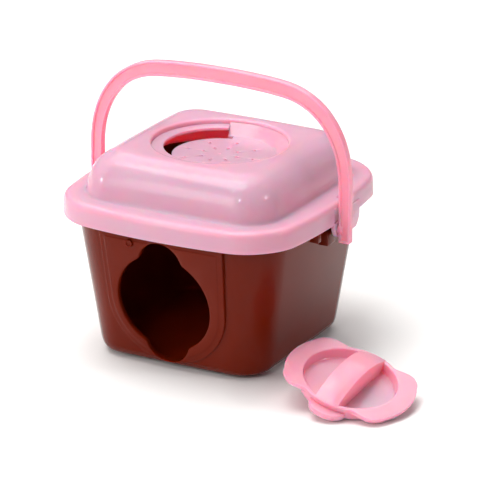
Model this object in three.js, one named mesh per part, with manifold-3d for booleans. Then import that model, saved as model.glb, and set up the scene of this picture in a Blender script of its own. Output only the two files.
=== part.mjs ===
// Small pet travel carrier: a tapered tub with a round door opening, a domed
// lid that lifts off, a swinging carry handle on the lid's two side ears, and
// a loose bayonet door cap lying on the floor beside the tub.
//
// Frame: millimetres, +Z up. The heights below are counted from the floor under
// the tub's feet; the finished assembly is lowered by FOOT_H so that the origin
// is the middle of the tub's flat underside. The door faces -Y, the handle
// swings about the X axis.
import * as THREE from 'three';
import { mergeVertices } from 'three/addons/utils/BufferGeometryUtils.js';
import Module from 'manifold-3d';

const wasm = await Module();
wasm.setup();

// ------------------------------------------------------------ dimensions --
const WALL = 2.0;              // moulded wall of tub and lid

// tub
const FOOT_H = 2.2;            // nubs under the corners
const TUB_TOP = 91.3;          // rim height, just under the lid's shelf
const TUB_BOT_HX = 52.6;       // half width at the bottom
const TUB_BOT_HY = 54.6;       // half depth at the bottom
const TUB_TOP_HX = 62.8;       // half width at the rim, in the straight part
const TUB_TOP_HY = 64.4;
const TUB_BOW_BOT = 0.8;       // outward bow of the sides
const TUB_BOW_TOP = 5.4;
const TUB_R_BOT = 20.0;        // vertical corner radius
const TUB_R_TOP = 22.0;
const TUB_FLOOR = 4.4;         // top face of the tub's floor

// front door panel, opening and stop peg
const DOOR_X = -1.0;           // door's centre
const DOOR_Z = 41.4;
const DOOR_R = 28.6;
const LOBE_REACH = 36.6;       // top and bottom notches that pass the cap's lugs
const LOBE_R = 13.0;
const PANEL_R = 36.8;          // U-shaped raised panel
const PANEL_FLARE = 1.6;        // the panel is this much wider each side at its top
const PANEL_TOP = 80.5;
const PANEL_PROUD = 1.3;
const PEG_X = -18.9;
const PEG_Z = 75.6;
const PEG_R = 2.3;

// lid
const LID_Z0 = 81.9;           // lower edge of the skirt
const LID_HX = 67.9;
const LID_HY = 69.2;
const LID_R = 23.0;
const LID_BOW = 7.0;
const DOME_HX = 59.4;          // base of the dome
const DOME_HY = 60.4;
const DOME_R = 20.5;
const DOME_TOP = 117.5;
const WELL_R = 38.2;           // round well in the dome's top
const WELL_FLOOR = 109.8;
const LEDGE_R = 31.4;          // inner radius of the half-round retaining ledge
const VENT_R = 0.9;
const VENT_RINGS = [10.4, 20.4];  // eight holes on each
const LEDGE_A0 = 109.6, CRESCENT_A0 = 103.5, LEDGE_A1 = 258;   // degrees from +X
const SLOT_Y0 = 6.5;            // slot in the lip above each ear
const SLOT_Y1 = 19.4;

// ears and handle
const PIVOT_Z = 78.0;          // height of the handle's axis
const PIN_R = 2.6;
const PIN_HOLE_R = 2.95;
const POCKET_T = 1.1;           // depth of the pocket behind the leg
const EAR_FRONT = -5.6;         // each ear reaches further back than forward of the pivot
const EAR_BACK = 25.6;
const EAR_BOTTOM = 73.0;
const LEG_T = 4.6;             // handle thickness along Y
const LEG_IN = 75.4;           // inner face of the legs at the pivot
const LEG_W = 6.7;             // leg width along X
const HANDLE_TOP = 160.0;

// door cap
const CAP_X = 108.9;           // where the loose cap lies
const CAP_Y = -51.9;
const CAP_RECESS_R = 26.0;
const CAP_PLUG_R = 27.6;
const CAP_FLANGE_R = 28.4;
const CAP_WING_R = 36.5;
const CAP_FLANGE_T = 2.8;
const CAP_LUG_R = 33.2;
const CAP_DEPTH = 7.2;
const CAP_RECESS = 5.8;
const GRIP_W = 14.4;
const GRIP_RISE = 6.6;

// ------------------------------------------------------------- utilities --
const V3 = (x, y, z) => new THREE.Vector3(x, y, z);

function soup(tris) {
  const pos = new Float32Array(tris.length * 9);
  let i = 0;
  for (const t of tris) for (const p of t) { pos[i++] = p[0]; pos[i++] = p[1]; pos[i++] = p[2]; }
  const g = new THREE.BufferGeometry();
  g.setAttribute('position', new THREE.BufferAttribute(pos, 3));
  return g;
}

function toSolid(geo, matrix) {
  let g = geo.clone();
  for (const name of Object.keys(g.attributes)) if (name !== 'position') g.deleteAttribute(name);
  if (matrix) g.applyMatrix4(matrix);
  g = mergeVertices(g, 1e-4);
  const solid = new wasm.Manifold(new wasm.Mesh({
    numProp: 3,
    vertProperties: new Float32Array(g.attributes.position.array),
    triVerts: new Uint32Array(g.index.array),
  }));
  if (solid.volume() < 0) throw new Error('inside out');
  return solid;
}

function toGeometry(solid) {
  const m = solid.getMesh();
  const n = m.numProp, count = m.vertProperties.length / n;
  const pos = new Float32Array(count * 3);
  for (let i = 0; i < count; i++) for (let k = 0; k < 3; k++) pos[3 * i + k] = m.vertProperties[n * i + k];
  const g = new THREE.BufferGeometry();
  g.setAttribute('position', new THREE.BufferAttribute(pos, 3));
  g.setIndex(new THREE.BufferAttribute(new Uint32Array(m.triVerts), 1));
  return g;
}

// closed outline of a rounded rectangle whose sides bow outwards
function outline(hx, hy, r, bow, arc = 6, side = 6) {
  const pts = [];
  const quads = [[1, 1, 0], [-1, 1, 1], [-1, -1, 2], [1, -1, 3]];
  for (const [sx, sy, q] of quads) {
    for (let i = 0; i <= arc; i++) {
      const t = (q + i / arc) * Math.PI / 2;
      pts.push([sx * (hx - r) + r * Math.cos(t), sy * (hy - r) + r * Math.sin(t)]);
    }
    // straight run to the next corner
    const nx = [[-1, 1], [-1, -1], [1, -1], [1, 1]][q];
    const t1 = (q + 1) * Math.PI / 2;
    const a = [sx * (hx - r) + r * Math.cos(t1), sy * (hy - r) + r * Math.sin(t1)];
    const b = [nx[0] * (hx - r) + r * Math.cos(t1), nx[1] * (hy - r) + r * Math.sin(t1)];
    for (let i = 1; i < side; i++) pts.push([a[0] + (b[0] - a[0]) * i / side, a[1] + (b[1] - a[1]) * i / side]);
  }
  return pts.map(([x, y]) => {
    const u = Math.min(1, Math.abs(y) / hy), v = Math.min(1, Math.abs(x) / hx);
    return [x + bow * (x / hx) * (1 - u * u), y + bow * (y / hy) * (1 - v * v)];
  });
}

// solid through a stack of outlines, bottom first: [points, z]
function loft(levels) {
  const tris = [];
  const n = levels[0][0].length;
  const P = levels.map(([pts, z]) => pts.map(([x, y]) => [x, y, z]));
  for (let k = 0; k + 1 < P.length; k++) {
    for (let i = 0; i < n; i++) {
      const j = (i + 1) % n;
      tris.push([P[k][i], P[k][j], P[k + 1][j]], [P[k][i], P[k + 1][j], P[k + 1][i]]);
    }
  }
  const c0 = [3.1, 1.7, levels[0][1]], c1 = [0, 0, levels[levels.length - 1][1]];   // hub kept off the axis, so a whole facet covers the origin
  const L = P[P.length - 1];
  for (let i = 0; i < n; i++) {
    const j = (i + 1) % n;
    tris.push([c0, P[0][j], P[0][i]], [c1, L[i], L[j]]);
  }
  return toSolid(soup(tris));
}

const lerp = (a, b, t) => a + (b - a) * t;

// straight prism of a 2-D shape, from z0 to z1
function prism(shape, z0, z1, segments = 12) {
  const g = new THREE.ExtrudeGeometry(shape, { depth: z1 - z0, bevelEnabled: false, curveSegments: segments });
  g.translate(0, 0, z0);
  return g;
}
function cyl(r0, r1, z0, z1, seg) {
  const g = new THREE.CylinderGeometry(r1, r0, z1 - z0, seg);
  g.rotateX(Math.PI / 2);
  g.translate(0, 0, (z0 + z1) / 2);
  return g;
}
function block(x0, x1, y0, y1, z0, z1) {
  const g = new THREE.BoxGeometry(x1 - x0, y1 - y0, z1 - z0);
  g.translate((x0 + x1) / 2, (y0 + y1) / 2, (z0 + z1) / 2);
  return g;
}
function sector(r0, r1, a0, a1, steps = 24) {      // ring sector, degrees
  const s = new THREE.Shape();
  const A = a0 * Math.PI / 180, B = a1 * Math.PI / 180;
  for (let i = 0; i <= steps; i++) {
    const t = lerp(A, B, i / steps);
    i ? s.lineTo(r1 * Math.cos(t), r1 * Math.sin(t)) : s.moveTo(r1 * Math.cos(t), r1 * Math.sin(t));
  }
  for (let i = steps; i >= 0; i--) {
    const t = lerp(A, B, i / steps);
    s.lineTo(r0 * Math.cos(t), r0 * Math.sin(t));
  }
  s.closePath();
  return s;
}
// a shape drawn in X (right) and Z (up), extruded along +Y from y0 to y1
const toFront = (y0) => new THREE.Matrix4().makeTranslation(0, y0, 0)
  .multiply(new THREE.Matrix4().makeBasis(V3(-1, 0, 0), V3(0, 0, 1), V3(0, 1, 0)));
function frontPrism(points, y0, y1) {
  // mirrored in X so that the extrusion keeps its facing
  const s = new THREE.Shape(points.map(([x, z]) => new THREE.Vector2(-x, z)));
  const g = new THREE.ExtrudeGeometry(s, { depth: y1 - y0, bevelEnabled: false });
  return toSolid(g, toFront(y0));
}
// a shape drawn in Y and Z, extruded along X
function sidePrism(points, x0, x1) {
  const s = new THREE.Shape(points.map(([y, z]) => new THREE.Vector2(y, z)));
  const g = new THREE.ExtrudeGeometry(s, { depth: x1 - x0, bevelEnabled: false });
  const m = new THREE.Matrix4().makeTranslation(x0, 0, 0)
    .multiply(new THREE.Matrix4().makeBasis(V3(0, 1, 0), V3(0, 0, 1), V3(1, 0, 0)));
  return toSolid(g, m);
}

function mesh(name, solid, color, roughness) {
  const m = new THREE.Mesh(toGeometry(solid), new THREE.MeshStandardMaterial({ color, roughness, metalness: 0 }));
  m.name = name;
  return m;
}

// ------------------------------------------------------------------- tub --
const tubT = (z) => (z - FOOT_H) / (TUB_TOP - FOOT_H);
const tubLevel = (z, inset = 0) => {
  const t = tubT(z);
  return [outline(
    lerp(TUB_BOT_HX, TUB_TOP_HX, t) - inset, lerp(TUB_BOT_HY, TUB_TOP_HY, t) - inset,
    Math.max(4, lerp(TUB_R_BOT, TUB_R_TOP, t) - inset), lerp(TUB_BOW_BOT, TUB_BOW_TOP, t)), z];
};
const frontY = (z) => lerp(TUB_BOT_HY + TUB_BOW_BOT, TUB_TOP_HY + TUB_BOW_TOP, tubT(z)); // middle of the front wall

function doorOutline(grow = 0, n = 40) {
  // circle with a notch lobe above and below
  const rc = DOOR_R + grow, rl = LOBE_R + grow, cl = LOBE_REACH - LOBE_R;
  const pts = [];
  for (let i = 0; i < n; i++) {
    const t = (i / n) * 2 * Math.PI, c = Math.cos(t), s = Math.sin(t);
    // ray from the centre, farther of circle and lobe
    const disc = rl * rl - (cl * c) * (cl * c);
    let r = rc;
    if (disc > 0) r = Math.max(rc, cl * Math.abs(s) + Math.sqrt(disc));
    pts.push([DOOR_X + r * c, DOOR_Z + r * s]);
  }
  return pts;
}

function makeTub() {
  let outer = loft([
    [outline(TUB_BOT_HX - 4, TUB_BOT_HY - 4, 14, TUB_BOW_BOT), FOOT_H],
    [outline(TUB_BOT_HX - 1.3, TUB_BOT_HY - 1.3, 16.7, TUB_BOW_BOT), FOOT_H + 1.2],
    tubLevel(FOOT_H + 4.0), tubLevel(45), tubLevel(TUB_TOP)]);

  // raised U-shaped panel round the door: its face follows the draft
  const shape = [];
  for (let i = 0; i <= 24; i++) {
    const t = Math.PI + Math.PI * i / 24;
    shape.push([PANEL_R * Math.cos(t), DOOR_Z + PANEL_R * Math.sin(t)]);
  }
  shape.push([PANEL_R + PANEL_FLARE, PANEL_TOP], [-PANEL_R - PANEL_FLARE, PANEL_TOP]);
  const front = frontPrism(shape, -80, -40);
  const zA = 0, zB = TUB_TOP;
  const face = sidePrism([
    [-(frontY(zA) + PANEL_PROUD), zA], [-(frontY(zA) - 12), zA],
    [-(frontY(zB) - 12), zB], [-(frontY(zB) + PANEL_PROUD), zB]], -50, 50);
  outer = outer.add(front.intersect(face));

  // feet
  for (const sx of [-1, 1]) for (const sy of [-1, 1]) {
    outer = outer.add(toSolid(cyl(3.6, 4.4, 0, FOOT_H + 1.5, 16),
      new THREE.Matrix4().makeTranslation(sx * 38, sy * 39, 0)));
  }

  // lid keepers on both side walls
  for (const s of [-1, 1]) {
    const wallX = lerp(TUB_BOT_HX + TUB_BOW_BOT, TUB_TOP_HX + TUB_BOW_TOP, tubT(72));
    const kb = (y0, y1, z0, z1, d) => toSolid(block(
      s > 0 ? wallX - 1.6 : -wallX - d, s > 0 ? wallX + d : -wallX + 1.6, y0, y1, z0, z1));
    outer = outer.add(kb(-4.6, 4.6, 68.6, 77.0, 5.2))
      .add(kb(-15.9, -12.1, 73.7, 79.5, 5.0)).add(kb(12.1, 15.9, 73.7, 79.5, 5.0));
  }

  // stop peg for the cap's wing
  const peg = new THREE.CylinderGeometry(PEG_R, PEG_R, 6, 16);
  peg.translate(PEG_X, -(frontY(PEG_Z) + PANEL_PROUD) + 1.6, PEG_Z);
  outer = outer.add(toSolid(peg));

  // inside
  const inner = loft([
    [outline(TUB_BOT_HX - 5.2, TUB_BOT_HY - 5.2, 13, TUB_BOW_BOT), TUB_FLOOR],
    [outline(TUB_BOT_HX - WALL - 0.6, TUB_BOT_HY - WALL - 0.6, 15.5, TUB_BOW_BOT), TUB_FLOOR + 2.2],
    tubLevel(45, WALL), tubLevel(TUB_TOP + 2, WALL)]);
  let tub = outer.subtract(inner);
  tub = tub.subtract(frontPrism(doorOutline(), -80, -30));
  return tub;
}

// ------------------------------------------------------------------- lid --
const skirt = (z, inset) => [outline(LID_HX - inset, LID_HY - inset, LID_R - inset * 0.8, LID_BOW), z];
const dome = (z, inset) => [outline(DOME_HX - inset, DOME_HY - inset, Math.max(5, DOME_R - inset * 0.75), 1.2), z];

function ventPositions() {
  const out = [];
  for (const r of VENT_RINGS) for (let i = 0; i < 8; i++) out.push([r, i * 45]);
  return out.map(([r, a]) => [r * Math.cos(a * Math.PI / 180), r * Math.sin(a * Math.PI / 180)]);
}

function makeLid() {
  let lid = loft([
    skirt(LID_Z0, 0), skirt(90.2, 0.3), skirt(92.2, 0.9), skirt(93.5, 2.3), skirt(93.9, 4.4),
    dome(93.5, -1.6), dome(94.0, -0.4), dome(97.5, 0.7), dome(103.5, 2.0), dome(108.2, 3.8),
    dome(112.0, 6.4), dome(114.9, 9.8), dome(116.7, 13.4), dome(DOME_TOP, 18)]);
  const inner = loft([
    skirt(LID_Z0 - 3, WALL), skirt(90.2, WALL + 0.3), skirt(91.3, WALL + 1.2), skirt(91.8, 4.4),
    dome(91.7, 0.2), dome(97.5, 2.7), dome(103.5, 4.0), dome(108.2, 5.9),
    dome(111.0, 8.2), dome(113.3, 11.0), dome(114.8, 14.2), dome(DOME_TOP - WALL, 19)]);
  lid = lid.subtract(inner);

  // well in the dome's top: floor, wall, half-round ledge, cut-away under it
  lid = lid.add(toSolid(cyl(WELL_R + 1.8, WELL_R + 1.8, WELL_FLOOR - 1.7, DOME_TOP - 0.6, 64)));
  lid = lid.subtract(toSolid(cyl(WELL_R, WELL_R, WELL_FLOOR, DOME_TOP + 3, 64)));
  const ledge = toSolid(prism(sector(LEDGE_R, WELL_R + 0.9, LEDGE_A0, LEDGE_A1, 26), DOME_TOP - 4.7, DOME_TOP - 2.8));
  lid = lid.add(ledge);
  // sloped wall on the open half
  const bank = toSolid(cyl(WELL_R + 0.9, WELL_R + 0.9, WELL_FLOOR - 0.5, DOME_TOP - 1.9, 64))
    .subtract(toSolid(cyl(LEDGE_R + 0.2, WELL_R, WELL_FLOOR, DOME_TOP - 1.8, 64)))
    .intersect(toSolid(prism(sector(20, WELL_R + 2, -102, LEDGE_A0, 30), WELL_FLOOR - 1, DOME_TOP)));
  lid = lid.add(bank);
  lid = lid.subtract(toSolid(prism(sector(26.6, WELL_R + 2.4, LEDGE_A0, LEDGE_A1, 26), WELL_FLOOR - 4, DOME_TOP - 4.7)));
  lid = lid.subtract(toSolid(prism(sector(26.6, LEDGE_R - 0.4, CRESCENT_A0, LEDGE_A0 + 2, 2), WELL_FLOOR - 4, WELL_FLOOR + 1.2)));
  for (const [x, y] of ventPositions()) {
    lid = lid.subtract(toSolid(cyl(VENT_R, VENT_R, WELL_FLOOR - 5, WELL_FLOOR + 3, 10),
      new THREE.Matrix4().makeTranslation(x, y, 0)));
  }

  // ears that carry the handle, and the slots in the lip above them
  const faceX = LID_HX + LID_BOW;
  for (const s of [-1, 1]) {
    const ear = [[EAR_FRONT, LID_Z0 + 6], [EAR_FRONT, LID_Z0 - 1], [EAR_FRONT + 0.2, LID_Z0 - 2.7],
      [EAR_FRONT + 1.0, LID_Z0 - 4.9], [EAR_FRONT + 2.4, EAR_BOTTOM + 2.2], [EAR_FRONT + 4.6, EAR_BOTTOM + 0.9],
      [EAR_FRONT + 8.6, EAR_BOTTOM], [EAR_BACK - 6.6, EAR_BOTTOM], [EAR_BACK - 3.3, EAR_BOTTOM + 1.0],
      [EAR_BACK - 1.3, EAR_BOTTOM + 3.5], [EAR_BACK, LID_Z0 - 1.9], [EAR_BACK, LID_Z0 + 6]];
    const x0 = s > 0 ? faceX - WALL - 0.3 : -faceX + 0.15, x1 = s > 0 ? faceX - 0.15 : -faceX + WALL + 0.3;
    lid = lid.add(sidePrism(ear, x0, x1));
    lid = lid.subtract(toSolid(block(
      s > 0 ? faceX - 5.7 : -faceX + 1.2, s > 0 ? faceX - 1.2 : -faceX + 5.7, SLOT_Y0, SLOT_Y1, 89.6, 97)));
    // the slot breaks out through the rounded shoulder; a shallow pocket lies behind the handle's leg
    lid = lid.subtract(toSolid(block(
      s > 0 ? faceX - 5.7 : -faceX - 1, s > 0 ? faceX + 1 : -faceX + 5.7, SLOT_Y0, SLOT_Y1, 91.7, 97)));
    lid = lid.subtract(toSolid(block(
      s > 0 ? faceX - POCKET_T : -faceX - 1, s > 0 ? faceX + 1 : -faceX + POCKET_T, EAR_FRONT, 4.6, LID_Z0 + 0.8, 91.2)));
    const hole = new THREE.CylinderGeometry(PIN_HOLE_R, PIN_HOLE_R, 12, 24);
    hole.rotateZ(Math.PI / 2);
    hole.translate(s * faceX, 0, PIVOT_Z);
    lid = lid.subtract(toSolid(hole));
  }
  return lid;
}

// ---------------------------------------------------------------- handle --
// centreline half: X, Z and band width, from the middle of the top to the foot
function handlePath() {
  const top = [[0, 155.7, 8.6], [12, 155.6, 8.6], [24, 155.1, 8.6], [36, 154.2, 8.6], [46, 152.6, 8.5],
    [54, 149.6, 8.3], [61.5, 144.8, 8.1], [68, 138.0, 7.8], [73, 129.8, 7.5], [76.4, 120.5, 7.2], [78.2, 110.5, 7.0],
    [78.6, 98, 6.8], [78.7, 88, 6.7]];
  return top.concat([[LEG_IN + LEG_W / 2, PIVOT_Z, LEG_W], [LEG_IN + LEG_W / 2, 71.0, LEG_W]]);
}
function makeHandle() {
  const half = handlePath();
  const inn = [], out = [];
  for (let i = 0; i < half.length; i++) {
    const p = half[i], a = half[Math.max(0, i - 1)], b = half[Math.min(half.length - 1, i + 1)];
    let tx = b[0] - a[0], tz = b[1] - a[1];
    if (i === 0) { tx = 1; tz = 0; }
    if (i >= half.length - 2) { tx = 0; tz = -1; }
    const l = Math.hypot(tx, tz); tx /= l; tz /= l;
    const nx = -tz, nz = tx;                          // outward normal
    out.push([p[0] + nx * p[2] / 2, p[1] + nz * p[2] / 2]);
    inn.push([p[0] - nx * p[2] / 2, p[1] - nz * p[2] / 2]);
  }
  const ring = (o, k) => {
    // outline of the whole bail, inset by k on both edges
    const O = o.out.map(([x, z], i) => shift(x, z, i, -k)), I = o.inn.map(([x, z], i) => shift(x, z, i, k));
    const right = O.concat(I.slice().reverse());
    const left = I.map(([x, z]) => [-x, z]).concat(O.map(([x, z]) => [-x, z]).reverse());
    // go round: outer right top -> foot -> inner right up -> inner left down -> foot -> outer left up
    const pts = [...O, ...I.slice().reverse(), ...I.slice(1).map(([x, z]) => [-x, z]),
      ...O.slice(1).map(([x, z]) => [-x, z]).reverse()];
    return pts;
    function shift(x, z, i, d) {
      const q = half[i];
      const dx = o.out[i][0] - q[0], dz = o.out[i][1] - q[1], L = Math.hypot(dx, dz);
      let X = x + dx / L * d, Z = z + dz / L * d;
      if (i === half.length - 1) Z += k;
      return [X, Z];
    }
  };
  const full = ring({ out, inn }, 0), web = ring({ out, inn }, 1.25);
  let h = frontPrism(full, -LEG_T / 2, LEG_T / 2);
  h = h.subtract(frontPrism(web, -LEG_T / 2 - 1, -LEG_T / 2 + 0.9));
  h = h.subtract(frontPrism(web, LEG_T / 2 - 0.9, LEG_T / 2 + 1));
  // pivot pins and their heads inside the ears
  for (const s of [-1, 1]) {
    const x0 = LID_HX + LID_BOW - WALL - 1.0;
    const pin = new THREE.CylinderGeometry(PIN_R, PIN_R, LEG_IN + 2.5 - x0, 20);
    pin.rotateZ(Math.PI / 2);
    pin.translate(s * (x0 + LEG_IN + 2.5) / 2, 0, PIVOT_Z);
    h = h.add(toSolid(pin));
  }
  return h;
}

// -------------------------------------------------------------- door cap --
function capOutline() {
  const pts = [];
  const n = 72;
  const edge = 40, corner = 12, neck = 22;               // wing half angle and blends, degrees
  for (let i = 0; i < n; i++) {
    const a = (i / n) * 360;
    const d = Math.min(Math.abs(((a + 180) % 360) - 180), Math.abs(a - 180));
    let r;
    if (d <= edge) r = CAP_WING_R;
    else if (d >= edge + neck) r = CAP_FLANGE_R;
    else {
      const t = (d - edge) / neck;
      const s = t * t * (3 - 2 * t);
      r = lerp(CAP_WING_R, CAP_FLANGE_R, s);
    }
    if (d > edge - corner && d < edge) r += 0.5 * Math.sin(Math.PI * (d - edge + corner) / corner);
    pts.push(new THREE.Vector2(r * Math.cos(a * Math.PI / 180), r * Math.sin(a * Math.PI / 180)));
  }
  return new THREE.Shape(pts);
}
function makeCap() {
  // z = 0 is the flange's upper face, the plug hangs below
  let cap = toSolid(prism(capOutline(), -CAP_FLANGE_T, 0));
  cap = cap.add(toSolid(cyl(CAP_PLUG_R - 0.3, CAP_PLUG_R, -CAP_DEPTH, -CAP_FLANGE_T + 0.4, 48)));
  // locking lugs at right angles to the wings
  const tongue = (mid) => {
    const pts = [], half = 23, r0 = CAP_PLUG_R - 2.5;
    for (let i = 0; i <= 14; i++) {
      const a = mid - half + (2 * half * i) / 14, d = Math.abs(a - mid) / half;
      const r = lerp(CAP_LUG_R, CAP_PLUG_R + 0.3, d ** 2.6);
      pts.push(new THREE.Vector2(r * Math.cos(a * Math.PI / 180), r * Math.sin(a * Math.PI / 180)));
    }
    for (let i = 4; i >= 0; i--) {
      const a = mid - half + (2 * half * i) / 4;
      pts.push(new THREE.Vector2(r0 * Math.cos(a * Math.PI / 180), r0 * Math.sin(a * Math.PI / 180)));
    }
    return toSolid(prism(new THREE.Shape(pts), -CAP_DEPTH, -CAP_FLANGE_T - 0.9));
  };
  const lug = tongue(91).add(tongue(271));
  cap = cap.add(lug);
  cap = cap.subtract(toSolid(cyl(CAP_RECESS_R - 0.6, CAP_RECESS_R, -CAP_RECESS, 5, 48)));
  // arched grip bar across the recess
  const bar = [];
  const end = 27.4;
  for (let i = 0; i <= 16; i++) {
    const y = lerp(-end, end, i / 16);
    bar.push([y, 0.15 + GRIP_RISE * (1 - (y / end) ** 2)]);
  }
  bar.reverse();
  const grip = sidePrism([[-end, -1.2], [-26.2, -CAP_RECESS - 0.6], [26.2, -CAP_RECESS - 0.6], [end, -1.2], ...bar.slice(0)],
    -GRIP_W / 2, GRIP_W / 2);
  cap = cap.add(grip);
  return cap;
}

// -------------------------------------------------------------- assembly --
const BROWN = 0x5a2716, PINK = 0xf2a6c4;
const root = new THREE.Group();
root.name = 'carrier';
const tub = mesh('tub', makeTub(), BROWN, 0.28);
const lid = mesh('lid', makeLid(), PINK, 0.3);
const handle = mesh('carry_handle', makeHandle(), PINK, 0.3);
root.add(tub, lid, handle);

// the loose cap leans on its lower edge with its face turned a little to the front right
const cap = mesh('door_cap', makeCap(), PINK, 0.3);
const up = V3(0.2637, -0.1474, 0.9669).normalize();
const ex = V3(0, 1, 0).cross(up).normalize(), ey = up.clone().cross(ex);
const turn = new THREE.Matrix4().makeBasis(ex, ey, up);
cap.quaternion.setFromRotationMatrix(turn);
{
  // set down so that its lowest point touches the floor
  let low = Infinity;
  const p = cap.geometry.attributes.position;
  for (let i = 0; i < p.count; i++) low = Math.min(low, V3(p.getX(i), p.getY(i), p.getZ(i)).applyMatrix4(turn).z);
  cap.position.set(CAP_X, CAP_Y, -low + 0.02);
}
root.add(cap);
for (const m of [tub, lid, handle, cap]) m.position.z -= FOOT_H;

export default root;
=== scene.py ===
"""Looks for the small pet travel carrier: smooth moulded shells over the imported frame, studio light and camera."""

import math

import bpy
import bmesh
import numpy as np
from mathutils import Matrix, Vector


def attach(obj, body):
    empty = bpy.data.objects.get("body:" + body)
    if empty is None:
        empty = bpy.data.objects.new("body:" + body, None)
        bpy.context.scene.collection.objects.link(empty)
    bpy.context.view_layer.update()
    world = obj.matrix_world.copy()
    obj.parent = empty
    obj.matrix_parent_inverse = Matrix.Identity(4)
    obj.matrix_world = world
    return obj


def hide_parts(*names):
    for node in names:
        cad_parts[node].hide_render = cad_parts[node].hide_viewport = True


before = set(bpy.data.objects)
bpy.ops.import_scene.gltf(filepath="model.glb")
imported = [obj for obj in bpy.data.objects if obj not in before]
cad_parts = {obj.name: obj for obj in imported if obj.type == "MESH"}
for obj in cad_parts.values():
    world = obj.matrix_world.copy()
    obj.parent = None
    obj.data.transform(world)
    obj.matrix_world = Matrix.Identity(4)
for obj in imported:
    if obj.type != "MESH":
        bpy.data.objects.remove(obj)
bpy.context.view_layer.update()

MM = 0.001
FOOT_H = 2.2                      # heights below are counted from the floor, in mm

# ----------------------------------------------------------- dimensions, mm --
WALL = 2.0
TUB_TOP = 91.3
TUB_BOT_HX, TUB_BOT_HY = 52.6, 54.6
TUB_TOP_HX, TUB_TOP_HY = 62.8, 64.4
TUB_BOW_BOT, TUB_BOW_TOP = 0.8, 5.4
TUB_R_BOT, TUB_R_TOP = 20.0, 22.0
TUB_FLOOR = 4.4
DOOR_X, DOOR_Z, DOOR_R = -1.0, 41.4, 28.6
LOBE_REACH, LOBE_R = 36.6, 13.0
PANEL_R, PANEL_FLARE, PANEL_TOP, PANEL_PROUD = 36.8, 1.6, 80.5, 1.3
PEG_X, PEG_Z, PEG_R = -18.9, 75.6, 2.3
LID_Z0 = 81.9
LID_HX, LID_HY, LID_R, LID_BOW = 67.9, 69.2, 23.0, 7.0
DOME_HX, DOME_HY, DOME_R, DOME_TOP = 59.4, 60.4, 20.5, 117.5
WELL_R, WELL_FLOOR, LEDGE_R = 38.2, 109.8, 31.4
LEDGE_A0, CRESCENT_A0, LEDGE_A1 = 109.6, 103.5, 258.0
VENT_R = 0.9
SLOT_Y0, SLOT_Y1 = 6.5, 19.4
PIVOT_Z, PIN_R, PIN_HOLE_R = 78.0, 2.6, 2.95
EAR_FRONT, EAR_BACK, EAR_BOTTOM, POCKET_T = -5.6, 25.6, 73.0, 1.1
LEG_T, LEG_IN, LEG_W = 4.6, 75.4, 6.7
CAP_RECESS_R, CAP_PLUG_R, CAP_FLANGE_R, CAP_WING_R = 26.0, 27.6, 28.4, 36.5
CAP_FLANGE_T, CAP_DEPTH, CAP_RECESS, CAP_LUG_R = 2.8, 7.2, 5.8, 33.2
GRIP_W, GRIP_RISE = 14.4, 6.6

rad = math.radians


def lerp(a, b, t):
    return a + (b - a) * t


# ------------------------------------------------------------- mesh helpers --
def new_object(name, verts, faces, matrix=None):
    v = np.asarray(verts, float)
    if matrix is not None:
        v = v @ np.asarray(matrix)[:3, :3].T + np.asarray(matrix)[:3, 3]
    v = v * MM
    v[:, 2] -= FOOT_H * MM
    me = bpy.data.meshes.new(name)
    me.from_pydata(v.tolist(), [], faces)
    me.update()
    bm = bmesh.new()
    bm.from_mesh(me)
    bmesh.ops.recalc_face_normals(bm, faces=bm.faces)
    if bm.calc_volume(signed=True) < 0:
        bmesh.ops.reverse_faces(bm, faces=bm.faces)
    bm.to_mesh(me)
    bm.free()
    ob = bpy.data.objects.new(name, me)
    bpy.context.scene.collection.objects.link(ob)
    return ob


def loops_to_mesh(name, loops, closed_ring=False, matrix=None):
    """A closed skin through a stack of point loops. Its two ends are fans, or join up."""
    L = [np.asarray(l, float) for l in loops]
    n = len(L[0])
    verts = np.concatenate(L)
    faces = []
    rings = len(L)
    last = rings if closed_ring else rings - 1
    for k in range(last):
        a, b = k * n, ((k + 1) % rings) * n
        for i in range(n):
            j = (i + 1) % n
            faces.append((a + i, a + j, b + j, b + i))
    if not closed_ring:
        for k in (0, rings - 1):
            verts = np.vstack([verts, L[k].mean(axis=0)])
            c = len(verts) - 1
            a = k * n
            for i in range(n):
                faces.append((c, a + i, a + (i + 1) % n))
    return new_object(name, verts, faces, matrix)


def sweep_section(name, frames, section, matrix=None, caps=True):
    """A closed 2-D section carried along frames of (origin, u, v); ends are flat."""
    n = len(section)
    verts, faces = [], []
    for (o, u, v), sc in frames:
        for (a, b) in section:
            verts.append(np.asarray(o) + np.asarray(u) * a * sc[0] + np.asarray(v) * b * sc[1])
    m = len(frames)
    for k in range(m - 1):
        for i in range(n):
            j = (i + 1) % n
            faces.append((k * n + i, k * n + j, (k + 1) * n + j, (k + 1) * n + i))
    if caps:
        faces.append(tuple(range(n)))
        faces.append(tuple((m - 1) * n + i for i in range(n)))
    return new_object(name, verts, faces, matrix)


def boolean(target, others, op):
    for other in others:
        mod = target.modifiers.new("cut", "BOOLEAN")
        mod.operation = op
        mod.object = other
        mod.solver = "EXACT"
        try:
            mod.solver = "MANIFOLD"
        except TypeError:
            pass
        deps = bpy.context.evaluated_depsgraph_get()
        me = bpy.data.meshes.new_from_object(target.evaluated_get(deps))
        if len(me.polygons) < 4:
            mod.solver = "EXACT"
            deps = bpy.context.evaluated_depsgraph_get()
            me = bpy.data.meshes.new_from_object(target.evaluated_get(deps))
        target.modifiers.clear()
        old = target.data
        target.data = me
        bpy.data.meshes.remove(old)
        bpy.data.objects.remove(other, do_unlink=True)
    return target


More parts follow.
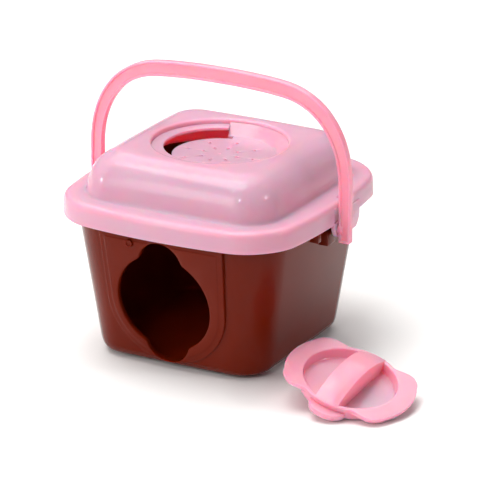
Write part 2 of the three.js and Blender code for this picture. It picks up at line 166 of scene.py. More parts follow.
def join(objects, name):
    """Several separate solids as one mesh object."""
    verts, faces, base = [], [], 0
    for o in objects:
        verts += [tuple(v.co) for v in o.data.vertices]
        faces += [tuple(base + i for i in p.vertices) for p in o.data.polygons]
        base += len(o.data.vertices)
        bpy.data.objects.remove(o, do_unlink=True)
    me = bpy.data.meshes.new(name)
    me.from_pydata(verts, [], faces)
    me.update()
    ob = bpy.data.objects.new(name, me)
    bpy.context.scene.collection.objects.link(ob)
    return ob


def finish_mesh(ob, angle=32):
    me = ob.data
    bm = bmesh.new()
    bm.from_mesh(me)
    bmesh.ops.remove_doubles(bm, verts=bm.verts, dist=2e-6)
    bmesh.ops.dissolve_degenerate(bm, edges=bm.edges, dist=2e-6)
    bm.to_mesh(me)
    bm.free()
    me.polygons.foreach_set("use_smooth", [True] * len(me.polygons))
    me.set_sharp_from_angle(angle=rad(angle))
    me.update()
    return ob


def outline(hx, hy, r, bow, arc=18, side=30):
    pts = []
    for q, (sx, sy) in enumerate([(1, 1), (-1, 1), (-1, -1), (1, -1)]):
        for i in range(arc + 1):
            t = (q + i / arc) * math.pi / 2
            pts.append((sx * (hx - r) + r * math.cos(t), sy * (hy - r) + r * math.sin(t)))
        nx = [(-1, 1), (-1, -1), (1, -1), (1, 1)][q]
        t1 = (q + 1) * math.pi / 2
        a = (sx * (hx - r) + r * math.cos(t1), sy * (hy - r) + r * math.sin(t1))
        b = (nx[0] * (hx - r) + r * math.cos(t1), nx[1] * (hy - r) + r * math.sin(t1))
        for i in range(1, side):
            pts.append((lerp(a[0], b[0], i / side), lerp(a[1], b[1], i / side)))
    p = np.array(pts)
    u = np.minimum(1, abs(p[:, 1]) / hy)
    v = np.minimum(1, abs(p[:, 0]) / hx)
    return np.stack([p[:, 0] + bow * (p[:, 0] / hx) * (1 - u * u), p[:, 1] + bow * (p[:, 1] / hy) * (1 - v * v)], 1)


def at_z(p, z):
    return np.column_stack([p, np.full(len(p), z)])


def spline(levels, steps):
    """Smooth rings between the given ones (centripetal-free Catmull-Rom, ends clamped)."""
    out = []
    L = [np.asarray(l, float) for l in levels]
    for k in range(len(L) - 1):
        p0, p1, p2, p3 = L[max(0, k - 1)], L[k], L[k + 1], L[min(len(L) - 1, k + 2)]
        d = np.linalg.norm(p2 - p1, axis=1).mean()
        da = np.linalg.norm(p1 - p0, axis=1).mean() or d
        db = np.linalg.norm(p3 - p2, axis=1).mean() or d
        m1 = ((p1 - p0) / da * d + (p2 - p1)) * 0.5 if k > 0 else (p2 - p1)
        m2 = ((p3 - p2) / db * d + (p2 - p1)) * 0.5 if k + 2 < len(L) else (p2 - p1)
        for s in range(steps):
            t = s / steps
            h1, h2, h3, h4 = 2 * t**3 - 3 * t**2 + 1, -2 * t**3 + 3 * t**2, t**3 - 2 * t**2 + t, t**3 - t**2
            out.append(h1 * p1 + h2 * p2 + h3 * m1 + h4 * m2)
    out.append(L[-1])
    return out


def cylinder(name, r0, r1, z0, z1, seg=48, edge=0.0, matrix=None):
    """Round peg from z0 to z1 with small rounded ends."""
    t = np.arange(seg) / seg * 2 * math.pi
    prof = []
    if edge > 0:
        prof = [(r0 - edge, z0)] + [(r0 - edge + edge * math.sin(a), z0 + edge - edge * math.cos(a)) for a in (rad(30), rad(60), rad(90))]
        prof += [(r1 - edge + edge * math.cos(a), z1 - edge + edge * math.sin(a)) for a in (0, rad(30), rad(60))] + [(r1 - edge, z1)]
    else:
        prof = [(r0, z0), (r1, z1)]
    loops = [np.column_stack([r * np.cos(t), r * np.sin(t), np.full(seg, z)]) for r, z in prof]
    return loops_to_mesh(name, loops, matrix=matrix)


def rounded_box(name, x0, x1, y0, y1, z0, z1, e=0.4):
    bm = bmesh.new()
    bmesh.ops.create_cube(bm, size=1)
    for v in bm.verts:
        v.co = Vector((lerp(x0, x1, v.co.x + .5), lerp(y0, y1, v.co.y + .5), lerp(z0, z1, v.co.z + .5)))
    bmesh.ops.bevel(bm, geom=list(bm.edges), offset=e, segments=3, profile=.5, affect='EDGES')
    verts = [tuple(v.co) for v in bm.verts]
    bm.verts.index_update()
    faces = [tuple(v.index for v in f.verts) for f in bm.faces]
    bm.free()
    return new_object(name, verts, faces)


def sector_body(name, section, a0, a1, steps=64, smooth=True):
    """A closed (r, z) section turned from a0 to a1 degrees."""
    fr = []
    for i in range(steps + 1):
        t = rad(lerp(a0, a1, i / steps))
        fr.append((((0, 0, 0), (math.cos(t), math.sin(t), 0), (0, 0, 1)), (1, 1)))
    return sweep_section(name, fr, section)


def matrix_axes(ex, ey, ez, o=(0, 0, 0)):
    m = np.eye(4)
    m[:3, 0], m[:3, 1], m[:3, 2], m[:3, 3] = ex, ey, ez, o
    return m


# ---------------------------------------------------------------------- tub --
def tub_t(z):
    return (z - FOOT_H) / (TUB_TOP - FOOT_H)


def tub_ring(z, inset=0.0):
    t = tub_t(z)
    return at_z(outline(lerp(TUB_BOT_HX, TUB_TOP_HX, t) - inset, lerp(TUB_BOT_HY, TUB_TOP_HY, t) - inset,
                        max(4, lerp(TUB_R_BOT, TUB_R_TOP, t) - inset), lerp(TUB_BOW_BOT, TUB_BOW_TOP, t)), z)


def front_y(z):
    return lerp(TUB_BOT_HY + TUB_BOW_BOT, TUB_TOP_HY + TUB_BOW_TOP, tub_t(z))


def door_outline(grow=0.0, n=240):
    rc, rl, cl = DOOR_R + grow, LOBE_R + grow, LOBE_REACH - LOBE_R
    out = []
    for i in range(n):
        t = i / n * 2 * math.pi
        c, s = math.cos(t), math.sin(t)
        disc = rl * rl - (cl * c) ** 2
        r = rc
        if disc > 0:
            rb = cl * abs(s) + math.sqrt(disc)
            k = 0.9
            r = math.log(math.exp(min(60, rc / k)) + math.exp(min(60, rb / k))) * k if abs(rc - rb) < 8 else max(rc, rb)
        out.append((DOOR_X + r * c, DOOR_Z + r * s))
    return np.array(out)


def front_rings(points, depths):
    """Loops of an X-Z outline at distances in front of the drafted front wall."""
    loops = []
    for pts, d in zip(points, depths):
        loops.append(np.column_stack([pts[:, 0], -(front_y(pts[:, 1]) + d), pts[:, 1]]))
    return loops


def panel_outline(inset, n=64):
    pts = []
    r = PANEL_R - inset
    for i in range(n + 1):
        t = math.pi + math.pi * i / n
        pts.append((r * math.cos(t), DOOR_Z + r * math.sin(t)))
    top = PANEL_TOP - inset
    for i in range(1, 25):
        pts.append((r + PANEL_FLARE * i / 24, lerp(DOOR_Z, top, i / 24)))
    for i in range(1, 31):
        pts.append((lerp(r + PANEL_FLARE, -(r + PANEL_FLARE), i / 30), top))
    for i in range(1, 24):
        pts.append((-(r + PANEL_FLARE) + PANEL_FLARE * i / 24, lerp(top, DOOR_Z, i / 24)))
    return np.array(pts)


def make_tub():
    n_in = spline([at_z(outline(12, 12.5, 6, 0), TUB_FLOOR), at_z(outline(34, 36, 10, .4), TUB_FLOOR),
                   at_z(outline(TUB_BOT_HX - 6.4, TUB_BOT_HY - 6.4, 12.4, TUB_BOW_BOT), TUB_FLOOR + .02),
                   at_z(outline(TUB_BOT_HX - 4.2, TUB_BOT_HY - 4.2, 13.6, TUB_BOW_BOT), TUB_FLOOR + .7),
                   at_z(outline(TUB_BOT_HX - WALL - .6, TUB_BOT_HY - WALL - .6, 15.5, TUB_BOW_BOT), TUB_FLOOR + 2.6)], 3)
    n_in += [tub_ring(z, WALL) for z in np.linspace(12, TUB_TOP - .5, 22)]
    rim = [tub_ring(TUB_TOP - .15, WALL - .15), tub_ring(TUB_TOP, WALL - .5), tub_ring(TUB_TOP, .5), tub_ring(TUB_TOP - .15, .15), tub_ring(TUB_TOP - .5, 0)]
    out = [tub_ring(z, 0) for z in np.linspace(TUB_TOP - 3, 10.5, 24)]
    out += spline([tub_ring(9.5, 0), tub_ring(FOOT_H + 4.4, .15),
                   at_z(outline(TUB_BOT_HX - 1.1, TUB_BOT_HY - 1.1, 17.0, TUB_BOW_BOT), FOOT_H + 1.9),
                   at_z(outline(TUB_BOT_HX - 2.6, TUB_BOT_HY - 2.6, 15.6, TUB_BOW_BOT), FOOT_H + .5),
                   at_z(outline(TUB_BOT_HX - 4.8, TUB_BOT_HY - 4.8, 13.6, TUB_BOW_BOT), FOOT_H)], 4)
    out += [at_z(outline(34, 36, 10, .4), FOOT_H), at_z(outline(12, 12.5, 6, 0), FOOT_H)]
    tub = loops_to_mesh("tub_shell", n_in + rim + out)

    # raised panel round the door, with a lower border band
    P = [panel_outline(k) for k in (0, 0, .12, .45, .9, 2.9, 3.15, 3.5, 3.9, 12, 24)]
    D = [-1.2, .35, .62, .84, .9, .92, 1.0, 1.2, 1.3, 1.3, 1.3]
    panel = loops_to_mesh("panel", front_rings(P, D))
    adds = [panel]
    for sx in (-1, 1):
        for sy in (-1, 1):
            adds.append(cylinder("foot", 3.6, 4.4, 0, FOOT_H + 1.5, 40, .5, matrix_axes((1, 0, 0), (0, 1, 0), (0, 0, 1), (sx * 38, sy * 39, 0))))
    wx = lerp(TUB_BOT_HX + TUB_BOW_BOT, TUB_TOP_HX + TUB_BOW_TOP, tub_t(72))
    for s in (-1, 1):
        def kb(y0, y1, z0, z1, d, e=.35):
            return rounded_box("keeper", wx - 1.4 if s > 0 else -wx - d, wx + d if s > 0 else -wx + 1.4, y0, y1, z0, z1, e)
        for y0, y1, z0, z1, d in ((-4.6, 4.6, 68.6, 77.0, 5.2), (-15.9, -12.1, 73.7, 79.5, 5.0), (12.1, 15.9, 73.7, 79.5, 5.0)):
            adds.append(kb(y0, y1, z0, z1, d))
    # stop peg: a short hollow-ended stud
    py = -(front_y(PEG_Z) + PANEL_PROUD)
    t = np.arange(40) / 40 * 2 * math.pi
    prof = [(PEG_R, 2.5), (PEG_R, -1.1), (PEG_R - .15, -1.4), (PEG_R - .5, -1.5), (PEG_R - .8, -1.4), (PEG_R - 1.0, -1.0), (PEG_R - 1.25, -.85), (.3, -.8)]
    adds.append(loops_to_mesh("peg", [np.column_stack([PEG_X + r * np.cos(t), np.full(40, py + y), PEG_Z + r * np.sin(t)]) for r, y in prof]))
    tub = boolean(tub, adds, "UNION")
    # door cutter, flared at both faces so the edge is rounded
    O = [door_outline(g) for g in (1.1, 1.1, .55, .25, .06, 0, 0, .12, .6, .6)]
    D = [9, PANEL_PROUD + .02, PANEL_PROUD - .12, PANEL_PROUD - .35, PANEL_PROUD - .75, PANEL_PROUD - 1.2, -WALL + .5, -WALL + .15, -WALL - .05, -14]
    O[1] = door_outline(.95)
    cutter = loops_to_mesh("door_cut", front_rings(O, D))
    return boolean(tub, [cutter], "DIFFERENCE")


# ---------------------------------------------------------------------- lid --
def skirt(z, inset):
    return at_z(outline(LID_HX - inset, LID_HY - inset, LID_R - inset * .8, LID_BOW), z)


def dome(z, inset):
    return at_z(outline(DOME_HX - inset, DOME_HY - inset, max(5, DOME_R - inset * .75), 1.2), z)


RING_A = np.arctan2(dome(0, 0)[:, 1], dome(0, 0)[:, 0])


def circle(r, z):
    return np.column_stack([r * np.cos(RING_A), r * np.sin(RING_A), np.full(len(RING_A), z)])


def mix(a, b, t):
    return a * (1 - t) + b * t


def vent_positions():
    return [(r * math.cos(rad(i * 45)), r * math.sin(rad(i * 45))) for r in (10.4, 20.4) for i in range(8)]


def make_lid():
    top_edge = dome(DOME_TOP, 18)
    rim_c = circle(WELL_R + 2.4, DOME_TOP)
    inside = [circle(8, WELL_FLOOR - 1.7), circle(22, WELL_FLOOR - 1.7), circle(WELL_R - .5, WELL_FLOOR - 1.7), circle(WELL_R + 1.2, WELL_FLOOR - 1.55),
              circle(WELL_R + 1.8, WELL_FLOOR - 1.0), circle(WELL_R + 1.8, DOME_TOP - WALL - .7), circle(WELL_R + 2.2, DOME_TOP - WALL - .1),
              mix(circle(WELL_R + 3, DOME_TOP - WALL), dome(DOME_TOP - WALL, 18.2), .5)]
    inside += spline([dome(DOME_TOP - WALL, 19), dome(114.8, 14.2), dome(113.3, 11.0), dome(111.0, 8.2), dome(108.2, 5.9),
                      dome(103.5, 4.0), dome(97.5, 2.7), dome(93.2, 1.4)], 3)
    inside += spline([dome(91.9, .2), skirt(91.8, 4.6), skirt(91.3, WALL + 1.3), skirt(90.2, WALL + .4), skirt(87, WALL + .05)], 3)
    inside += [skirt(LID_Z0 + .5, WALL), skirt(LID_Z0 + .12, WALL - .12), skirt(LID_Z0, WALL - .5), skirt(LID_Z0, .5), skirt(LID_Z0 + .12, .12), skirt(LID_Z0 + .5, 0)]
    outer = [skirt(84, .05), skirt(87, .15)]
    outer += spline([skirt(89.6, .26), skirt(91.3, .55), skirt(92.5, 1.15), skirt(93.35, 2.2), skirt(93.75, 3.7), skirt(93.8, 5.4)], 3)
    a, b = skirt(93.8, 5.4), dome(93.75, -1.5)
    outer += [mix(a, b, .33), mix(a, b, .66)]
    outer += spline([dome(93.75, -1.5), dome(94.15, -.45), dome(95.3, .2), dome(98.5, .8), dome(103.5, 2.0), dome(107.2, 3.4), dome(110.2, 5.2),
                     dome(112.7, 7.4), dome(114.9, 10.3), dome(116.5, 13.8), dome(117.3, 17.0), dome(DOME_TOP + .05, 19.6)], 4)
    last = outer[-1]
    outer += [mix(last, rim_c, .5) + np.array([0, 0, .02]), mix(last, rim_c, .85), rim_c, circle(WELL_R + 1.5, DOME_TOP - .04), circle(WELL_R + .8, DOME_TOP - .22),
              circle(WELL_R + .3, DOME_TOP - .6), circle(WELL_R + .05, DOME_TOP - 1.2), circle(WELL_R, DOME_TOP - 2.2), circle(WELL_R, WELL_FLOOR + .8),
              circle(WELL_R - .25, WELL_FLOOR + .25), circle(WELL_R - .8, WELL_FLOOR), circle(33, WELL_FLOOR), circle(26, WELL_FLOOR), circle(16, WELL_FLOOR),
              circle(6, WELL_FLOOR)]
    lid = loops_to_mesh("lid_shell", inside + outer)

    faceX = LID_HX + LID_BOW
    adds = []
    # sloped bank on the open half
    zt = DOME_TOP - 1.85
    bank = [(WELL_R + .9, WELL_FLOOR - .6), (LEDGE_R - .6, WELL_FLOOR - .6), (LEDGE_R - .4, WELL_FLOOR + .03), (LEDGE_R + .5, WELL_FLOOR + .3)]
    for i in range(1, 9):
        bank.append((lerp(LEDGE_R + .5, WELL_R, i / 8), lerp(WELL_FLOOR + .3, zt, i / 8)))
    bank += [(WELL_R + .9, zt)]
    adds.append(sector_body("bank", bank, -102, LEDGE_A0, 90))
    # half-round ledge
    e = .35
    lo, hi = DOME_TOP - 4.7, DOME_TOP - 2.8
    led = [(WELL_R + .9, lo), (WELL_R + .9, hi)]
    led += [(LEDGE_R + e - e * math.sin(x), hi - e + e * math.cos(x)) for x in (0, rad(30), rad(60), rad(90))]
    led += [(LEDGE_R + e - e * math.cos(x), lo + e - e * math.sin(x)) for x in (0, rad(30), rad(60), rad(90))]
    adds.append(sector_body("ledge", led, LEDGE_A0, LEDGE_A1, 80))
    # moulding mark in the middle of the well
    adds.append(cylinder("mark", .9, .8, WELL_FLOOR - .5, WELL_FLOOR + .3, 24, .12))
    # ears below the skirt
    for s in (-1, 1):
        ear = []
        f, k2, b = EAR_FRONT, EAR_BACK, EAR_BOTTOM
        corners = [(f, LID_Z0 + 6), (f, LID_Z0 - 1), (f + .2, LID_Z0 - 2.7), (f + 1.0, LID_Z0 - 4.9), (f + 2.4, b + 2.2), (f + 4.6, b + .9), (f + 8.6, b),
                   (k2 - 6.6, b), (k2 - 3.3, b + 1.0), (k2 - 1.3, b + 3.5), (k2, LID_Z0 - 1.9), (k2, LID_Z0 + 6)]
        cs = np.array([(y, z, 0) for y, z in corners])
        pts = []
        for k in range(1, len(cs) - 2):
            p0, p1, p2, p3 = cs[k - 1], cs[k], cs[k + 1], cs[k + 2]
            for q in range(5):
                t = q / 5
                pts.append(.5 * ((2 * p1) + (-p0 + p2) * t + (2 * p0 - 5 * p1 + 4 * p2 - p3) * t * t + (-p0 + 3 * p1 - 3 * p2 + p3) * t ** 3))
        pts = [cs[0]] + pts + [cs[-2], cs[-1]]
        c = np.mean(pts, axis=0)
        x_out = faceX - .12
        x_in = faceX - WALL - .3

        def ring(x, inset):
            out = []
            for p in pts:
                d = p - c
                L = np.linalg.norm(d[:2])
                q = c + d * (1 - inset / L)
                out.append((s * x, q[0], q[1]))
            return np.array(out)
        adds.append(loops_to_mesh("ear", [ring(x_in, .3), ring(x_in + .3, 0), ring(x_out - .45, 0), ring(x_out - .12, .14), ring(x_out, .5)]))
    lid = boolean(lid, adds, "UNION")

    cuts = [sector_body("crescent", [(26.6, WELL_FLOOR - 4), (WELL_R + 2.4, WELL_FLOOR - 4), (WELL_R + 2.4, DOME_TOP - 4.7), (26.95, DOME_TOP - 4.7),
                                     (26.85, WELL_FLOOR + .0), (26.65, WELL_FLOOR - .25)], LEDGE_A0 + .2, LEDGE_A1, 80),
            sector_body("crescent_end", [(26.6, WELL_FLOOR - 4), (LEDGE_R - .4, WELL_FLOOR - 4), (LEDGE_R - .4, WELL_FLOOR + 1.2), (26.95, WELL_FLOOR + 1.2),
                                         (26.85, WELL_FLOOR + .0), (26.65, WELL_FLOOR - .25)], CRESCENT_A0, LEDGE_A0 + 2, 12)]
    for x, y in vent_positions():
        m = matrix_axes((1, 0, 0), (0, 1, 0), (0, 0, 1), (x, y, 0))
        t = np.arange(20) / 20 * 2 * math.pi
        prof = [(VENT_R, WELL_FLOOR - 4), (VENT_R, WELL_FLOOR - .3), (VENT_R + .12, WELL_FLOOR - .08), (VENT_R + .35, WELL_FLOOR + .02), (VENT_R + .35, WELL_FLOOR + 1)]
        cuts.append(loops_to_mesh("vent", [np.column_stack([r * np.cos(t), r * np.sin(t), np.full(20, z)]) for r, z in prof], matrix=m))
    for s in (-1, 1):
        cuts.append(rounded_box("slot", faceX - 5.7 if s > 0 else -faceX + 1.2, faceX - 1.2 if s > 0 else -faceX + 5.7, SLOT_Y0, SLOT_Y1, 89.6, 97, .4))
        cuts.append(rounded_box("shoulder", faceX - 5.7 if s > 0 else -faceX - 1, faceX + 1 if s > 0 else -faceX + 5.7, SLOT_Y0, SLOT_Y1, 91.7, 97, .4))
        cuts.append(rounded_box("pocket", faceX - POCKET_T if s > 0 else -faceX - 1, faceX + 1 if s > 0 else -faceX + POCKET_T, EAR_FRONT, 4.6, LID_Z0 + .8, 91.2, .3))
        m = matrix_axes((0, 1, 0), (0, 0, 1), (1, 0, 0), (s * faceX, 0, PIVOT_Z))
        cuts.append(cylinder("hole", PIN_HOLE_R, PIN_HOLE_R, -6, 6, 40, 0, m))
    lid = boolean(lid, cuts, "DIFFERENCE")
    return lid


# ------------------------------------------------------------------- handle --
def make_handle():
    half = [(0, 155.7, 8.6), (12, 155.6, 8.6), (24, 155.1, 8.6), (36, 154.2, 8.6), (46, 152.6, 8.5), (54, 149.6, 8.3), (61.5, 144.8, 8.1), (68, 138.0, 7.8),
            (73, 129.8, 7.5), (76.4, 120.5, 7.2), (78.2, 110.5, 7.0), (78.6, 98, 6.8), (78.7, 88, 6.7), (LEG_IN + LEG_W / 2, PIVOT_Z, LEG_W), (LEG_IN + LEG_W / 2, 71.6, LEG_W)]
    pts = [(-x, z, w) for x, z, w in half[:0:-1]] + half
    P = np.array([(x, z, w) for x, z, w in pts], float)
    fine = []
    for k in range(len(P) - 1):
        p0, p1, p2, p3 = P[max(0, k - 1)], P[k], P[k + 1], P[min(len(P) - 1, k + 2)]
        d, da, db = np.linalg.norm((p2 - p1)[:2]), np.linalg.norm((p1 - p0)[:2]) or 1, np.linalg.norm((p3 - p2)[:2]) or 1
        m1 = ((p1 - p0) / da * d + (p2 - p1)) * .5 if k else p2 - p1
        m2 = ((p3 - p2) / db * d + (p2 - p1)) * .5 if k + 2 < len(P) else p2 - p1
        for q in range(6):
            t = q / 6
            fine.append((2 * t**3 - 3 * t**2 + 1) * p1 + (-2 * t**3 + 3 * t**2) * p2 + (t**3 - 2 * t**2 + t) * m1 + (t**3 - t**2) * m2)
    fine.append(P[-1])
    fine = np.array(fine)
    W = 8.6
    # half section across the band (a = across, -0.5..0.5 of the width; b = thickness direction, mm)
    T = LEG_T / 2
    rim, web = 1.25, T - .9

    def section(w):
        h = w / 2
        side = [(h - .3, -T), (h - .1, -T + .08), (h, -T + .3), (h, 0), (h, T - .3), (h - .1, T - .08), (h - .3, T), (h - rim + .1, T), (h - rim - .05, T - .12),
                (h - rim - .15, T - .3), (h - rim - .25, web + .25), (h - rim - .4, web + .06), (h - rim - .7, web)]
        top = side[2:]
        half_up = top                                     # from outer side middle up and in to the web, +b
        up = [(a, b) for a, b in half_up if b > 0]
        s = [(h, 0)] + up
        s += [(-a, b) for a, b in reversed(up)] + [(-h, 0)]
        s += [(-a, -b) for a, b in up] + [(a, -b) for a, b in reversed(up)]
        return s
    n = len(section(W))
    verts, faces = [], []
    m = len(fine)
    for k in range(m):
        a, b = fine[max(0, k - 1)], fine[min(m - 1, k + 1)]
        t = (b - a)[:2]
        t = t / np.linalg.norm(t)
        if k in (0, m - 1):
            t = np.array([0, 1.0]) if k == 0 else np.array([0, -1.0])
        nrm = np.array([-t[1], t[0]])
        x, z, w = fine[k]
        for (sa, sb) in section(w):
            verts.append((x + nrm[0] * sa, sb, z + nrm[1] * sa))
    for k in range(m - 1):
        for i in range(n):
            j = (i + 1) % n
            faces.append((k * n + i, k * n + j, (k + 1) * n + j, (k + 1) * n + i))
    faces.append(tuple(range(n)))
    faces.append(tuple((m - 1) * n + i for i in range(n)))
    h = new_object("handle_band", verts, faces)
    adds = []
    for s in (-1, 1):
        cx = s * (LEG_IN + LEG_W / 2)
        # closed foot of the leg, and the pivot pin
        adds.append(rounded_box("foot_block", cx - LEG_W / 2 + .002, cx + LEG_W / 2 - .002, -T, T, 71.0, 72.3, .4))
        x0, x1 = LID_HX + LID_BOW - WALL - 1.0, LEG_IN + 2.5
        m4 = matrix_axes((0, 1, 0), (0, 0, 1), (1, 0, 0), (s * (x0 + x1) / 2, 0, PIVOT_Z))
        adds.append(cylinder("pin", PIN_R, PIN_R, -(x1 - x0) / 2, (x1 - x0) / 2, 40, .4, m4))
    return boolean(h, adds, "UNION")


# ----------------------------------------------------------------- door cap --
def cap_radius(a):
    edge, corner, neck = 40.0, 12.0, 22.0
    a = np.asarray(a, float) % 360
    d = np.minimum(np.minimum(abs(((a + 180) % 360) - 180), abs(a - 180)), 360 - a)
    r = np.where(d <= edge, CAP_WING_R, CAP_FLANGE_R)
    t = np.clip((d - edge) / neck, 0, 1)
    s = t * t * (3 - 2 * t)
    r = np.where((d > edge) & (d < edge + neck), lerp(CAP_WING_R, CAP_FLANGE_R, s), r)
    r = r + np.where((d > edge - corner) & (d < edge), .5 * np.sin(math.pi * np.clip((d - edge + corner) / corner, 0, 1)), 0)
    return r


def make_cap(M):
    n = 288
    ang = np.arange(n) / n * 360
    c, s = np.cos(np.radians(ang)), np.sin(np.radians(ang))
    R = cap_radius(ang)

    def ring(r, z):
        r = np.broadcast_to(r, (n,))
        return np.column_stack([r * c, r * s, np.full(n, z)])
    T, F = 0.0, -CAP_FLANGE_T
    rr = CAP_RECESS_R
    loops = [ring(6, -CAP_RECESS), ring(15, -CAP_RECESS), ring(rr - 2.2, -CAP_RECESS), ring(rr - 1.2, -CAP_RECESS + .1), ring(rr - .7, -CAP_RECESS + .5), ring(rr - .55, -CAP_RECESS + 1.2),
             ring(rr - .2, -1.6), ring(rr - .05, -.7), ring(rr + .1, -.28), ring(rr + .4, -.06), ring(rr + .8, T)]
    loops += [ring(lerp(rr + .8, R - .55, k), T) for k in (.25, .5, .75)]
    loops += [ring(R - .55, T), ring(R - .2, T - .08), ring(R - .04, T - .28), ring(R, T - .55), ring(R, T - 1.15), ring(R - .08, T - 1.3), ring(R - .6, T - 1.38), ring(R - .66, T - 1.5), ring(R - .66, F + .4), ring(R - .74, F + .12), ring(R - 1.0, F)]
    loops += [ring(lerp(R - 1.0, CAP_PLUG_R + .1, k), F) for k in (.35, .7)]
    loops += [ring(CAP_PLUG_R + .1, F), ring(CAP_PLUG_R, F - .2), ring(CAP_PLUG_R - .25, -CAP_DEPTH + .6), ring(CAP_PLUG_R - .4, -CAP_DEPTH + .15), ring(CAP_PLUG_R - .8, -CAP_DEPTH),
              ring(16, -CAP_DEPTH), ring(6, -CAP_DEPTH)]
    cap = loops_to_mesh("cap_body", loops, matrix=M)
    adds = []
    # locking lugs
    for mid in (91, 271):
        e = .7
        z0, z1, lim, steps = -CAP_DEPTH, F - .9, 23.0, 60
        rings = []
        for i in range(steps + 1):
            a = lerp(mid - lim, mid + lim, i / steps)
            d = abs(a - mid) / lim
            re = lerp(CAP_LUG_R, CAP_PLUG_R + .3, d ** 2.6)
            t = rad(a)
            prof = [(CAP_PLUG_R - 2.5, z1), (CAP_PLUG_R - 2.5, z0), (re - e, z0), (re - e * .3, z0 + e * .15), (re, z0 + e), (re, z1 - e), (re - e * .3, z1 - e * .15), (re - e, z1)]
            rings.append(np.array([(r * math.cos(t), r * math.sin(t), z) for r, z in prof]))
        verts = np.concatenate(rings)
        k = len(rings[0])
        faces = []
        for i in range(steps):
            for j in range(k):
                q = (j + 1) % k
                faces.append((i * k + j, i * k + q, (i + 1) * k + q, (i + 1) * k + j))
        faces.append(tuple(range(k)))
        faces.append(tuple(steps * k + j for j in range(k)))
        adds.append(new_object("lug", verts, faces, M))
    # arched grip bar
    end, w = 27.4, GRIP_W / 2
    rings = []
    for i in range(61):
        y = lerp(-end, end, i / 60)
        top = .15 + GRIP_RISE * (1 - (y / end) ** 2)
        inner = math.sqrt(max(0, (rr - .5) ** 2 - 0)) - .4
        bottom = -CAP_RECESS - .5 if abs(y) < 25.6 else lerp(-CAP_RECESS - .5, -1.0, (abs(y) - 25.6) / (end - 25.6))
        e = .7
        prof = [(-w, bottom), (-w, top - e), (-w + e * .29, top - e * .29), (-w + e, top), (0, top + .05), (w - e, top), (w - e * .29, top - e * .29), (w, top - e), (w, bottom), (0, bottom)]
        rings.append(np.array([(x, y, z) for x, z in prof]))
    verts = np.concatenate(rings)
    k = len(rings[0])
    faces = []
    for i in range(60):
        for j in range(k):
            q = (j + 1) % k
            faces.append((i * k + j, i * k + q, (i + 1) * k + q, (i + 1) * k + j))
    faces.append(tuple(range(k)))
    faces.append(tuple(60 * k + j for j in range(k)))
    adds.append(new_object("grip", verts, faces, M))
    cap = boolean(cap, adds, "UNION")
    return cap


up = np.array([0.2637, -0.1474, 0.9669])
up /= np.linalg.norm(up)
ex = np.cross((0, 1, 0), up)
ex /= np.linalg.norm(ex)
ey = np.cross(up, ex)
# the cap's place, from the frame: its lowest point is on the floor
CAP_POS = (108.9, -51.9, 15.03)
cap_matrix = matrix_axes(ex, ey, up, CAP_POS)

tub = finish_mesh(make_tub())
tub.name = "tub_shell"
lid = finish_mesh(make_lid())
lid.name = "lid_shell"
handle = finish_mesh(make_handle())
handle.name = "bail_handle"
cap = finish_mesh(make_cap(cap_matrix))
cap.name = "round_cap"


# ---------------------------------------------------------------- materials --
def srgb(c):
    return tuple(((x / 255) / 12.92 if x / 255 <= .04045 else ((x / 255 + .055) / 1.055) ** 2.4) for x in c) + (1.0,)


def plastic(name, base, deep, rough=(.16, .26), sss=.25, radius=(1, .35, .45), scale=.004, speck=.5):
    mat = bpy.data.materials.new(name)
    mat.use_nodes = True
    nt = mat.node_tree
    bs = nt.nodes["Principled BSDF"]
    co = nt.nodes.new("ShaderNodeTexCoord")
    big = nt.nodes.new("ShaderNodeTexNoise")
    big.inputs["Scale"].default_value = 22
    big.inputs["Detail"].default_value = 3
    nt.links.new(co.outputs["Object"], big.inputs["Vector"])
    ramp = nt.nodes.new("ShaderNodeValToRGB")
    ramp.color_ramp.elements[0].position = .3
    ramp.color_ramp.elements[1].position = .72
    ramp.color_ramp.elements[0].color = deep
    ramp.color_ramp.elements[1].color = base
    nt.links.new(big.outputs["Fac"], ramp.inputs["Fac"])
    nt.links.new(ramp.outputs["Color"], bs.inputs["Base Color"])
    # slow swirl of gloss, and fine handling marks
    fine = nt.nodes.new("ShaderNodeTexNoise")
    fine.inputs["Scale"].default_value = 260
    fine.inputs["Detail"].default_value = 4
    nt.links.new(co.outputs["Object"], fine.inputs["Vector"])
    rr = nt.nodes.new("ShaderNodeMapRange")
    rr.inputs["From Min"].default_value = .3
    rr.inputs["From Max"].default_value = .75
    rr.inputs["To Min"].default_value = rough[0]
    rr.inputs["To Max"].default_value = rough[1]
    nt.links.new(fine.outputs["Fac"], rr.inputs["Value"])
    nt.links.new(rr.outputs["Result"], bs.inputs["Roughness"])
    grain = nt.nodes.new("ShaderNodeTexNoise")
    grain.inputs["Scale"].default_value = 900
    grain.inputs["Detail"].default_value = 2
    nt.links.new(co.outputs["Object"], grain.inputs["Vector"])
    bump = nt.nodes.new("ShaderNodeBump")
    bump.inputs["Strength"].default_value = speck * .08
    bump.inputs["Distance"].default_value = .00015
    nt.links.new(grain.outputs["Fac"], bump.inputs["Height"])
    nt.links.new(bump.outputs["Normal"], bs.inputs["Normal"])
    bs.inputs["Subsurface Weight"].default_value = sss
    bs.inputs["Subsurface Radius"].default_value = radius
    bs.inputs["Subsurface Scale"].default_value = scale
    bs.inputs["IOR"].default_value = 1.5
    return mat


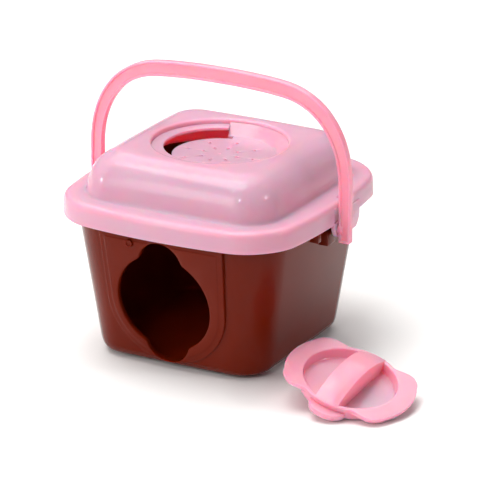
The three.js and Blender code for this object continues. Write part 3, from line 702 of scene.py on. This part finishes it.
pink = plastic("pink_gloss_plastic", srgb((245, 164, 184)), srgb((244, 159, 180)), rough=(.12, .18), sss=.9, radius=(1.0, .07, .14), scale=.014, speck=.08)
brown = plastic("brown_gloss_plastic", srgb((108, 27, 5)), srgb((99, 23, 4)), rough=(.13, .19), sss=.2, radius=(1.0, .12, .03), scale=.005, speck=.08)
brown.node_tree.nodes["Principled BSDF"].inputs["Specular IOR Level"].default_value = .12
pink.node_tree.nodes["Principled BSDF"].inputs["Specular IOR Level"].default_value = .33

for ob, mat, body, node, slot in ((tub, brown, "tub", "tub", "brown_plastic"), (lid, pink, "lid", "lid", "pink_plastic"),
                                  (handle, pink, "handle", "carry_handle", "pink_plastic"), (cap, pink, "cap", "door_cap", "pink_plastic")):
    ob.data.materials.clear()
    ob.data.materials.append(mat)
    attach(ob, body)
    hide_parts(node)

# -------------------------------------------------------------------- stage --
FLOOR_Z = -FOOT_H * MM
me = bpy.data.meshes.new("floor")
me.from_pydata([(x, y, FLOOR_Z) for x, y in ((-9, -9), (9, -9), (9, 9), (-9, 9))], [], [(0, 1, 2, 3)])
me.update()
floor = bpy.data.objects.new("floor", me)
bpy.context.scene.collection.objects.link(floor)
fm = bpy.data.materials.new("pale_floor")
fm.use_nodes = True
fb = fm.node_tree.nodes["Principled BSDF"]
fb.inputs["Base Color"].default_value = (.93, .93, .93, 1)
fb.inputs["Roughness"].default_value = .7
fb.inputs["Specular IOR Level"].default_value = .2
me.materials.append(fm)

world = bpy.data.worlds.new("studio")
bpy.context.scene.world = world
world.use_nodes = True
world.node_tree.nodes["Background"].inputs["Color"].default_value = (1, 1, 1, 1)
world.node_tree.nodes["Background"].inputs["Strength"].default_value = .24

AZ = rad(28.15)
target = Vector((.01518, 0, .05306))


def polar(az, el, dist, aim=target):
    return aim + Vector((math.sin(rad(az)) * math.cos(rad(el)), -math.cos(rad(az)) * math.cos(rad(el)), math.sin(rad(el)))) * dist


def area(name, loc, aim, sx, sy, watts, color=(1, 1, 1)):
    d = bpy.data.lights.new(name, "AREA")
    d.shape = "RECTANGLE"
    d.size, d.size_y, d.energy, d.color = sx, sy, watts, color
    o = bpy.data.objects.new(name, d)
    o.location = loc
    o.rotation_euler = (Vector(aim) - Vector(loc)).to_track_quat("-Z", "Y").to_euler()
    bpy.context.scene.collection.objects.link(o)
    return o


area("top_softbox", (-.3, -.2, 1.5), (0, 0, .05), 1.0, 1.0, 19, (1, .985, .96))
area("floor_wash", (-.9, 1.5, 2.2), (-.9, 1.5, 0), 2.6, 2.6, 46, (1, .985, .96))
area("front_left_softbox", polar(-22, 24, 1.7), target, .7, .7, 7, (1, .985, .96))
# small windows of light: the crisp glints on the dome's corners and on the lip
area("glint_front", polar(6, 34, 1.4, Vector((.043, -.056, .104))), (.043, -.056, .104), .07, .17, 2.6)
area("glint_right", polar(99, 31, 1.4, Vector((.054, -.047, .104))), (.054, -.047, .104), .07, .17, 2.2)
area("glint_left", polar(-57, 12, 1.3, Vector((-.042, -.058, .1))), (-.042, -.058, .1), .05, .05, 1.6)

# ------------------------------------------------------------------- camera --
cam = bpy.data.cameras.new("camera")
cam.sensor_fit = "HORIZONTAL"
cam.sensor_width = 36
cam.lens = 36 * 3620 / 487
cam.clip_end = 50
co = bpy.data.objects.new("camera", cam)
az, el, dist = rad(28.15), rad(20.34), 2.0272
back = Vector((math.sin(az) * math.cos(el), -math.cos(az) * math.cos(el), math.sin(el)))
co.location = target + back * dist
right = Vector((math.cos(az), math.sin(az), 0))
upv = back.cross(right)
roll = rad(0.2)
r2 = right * math.cos(roll) + upv * math.sin(roll)
u2 = back.cross(r2)
rot = Matrix((r2, u2, back)).transposed()
co.rotation_euler = rot.to_euler()
bpy.context.scene.collection.objects.link(co)
bpy.context.scene.camera = co
bpy.context.scene.view_settings.view_transform = "Standard"
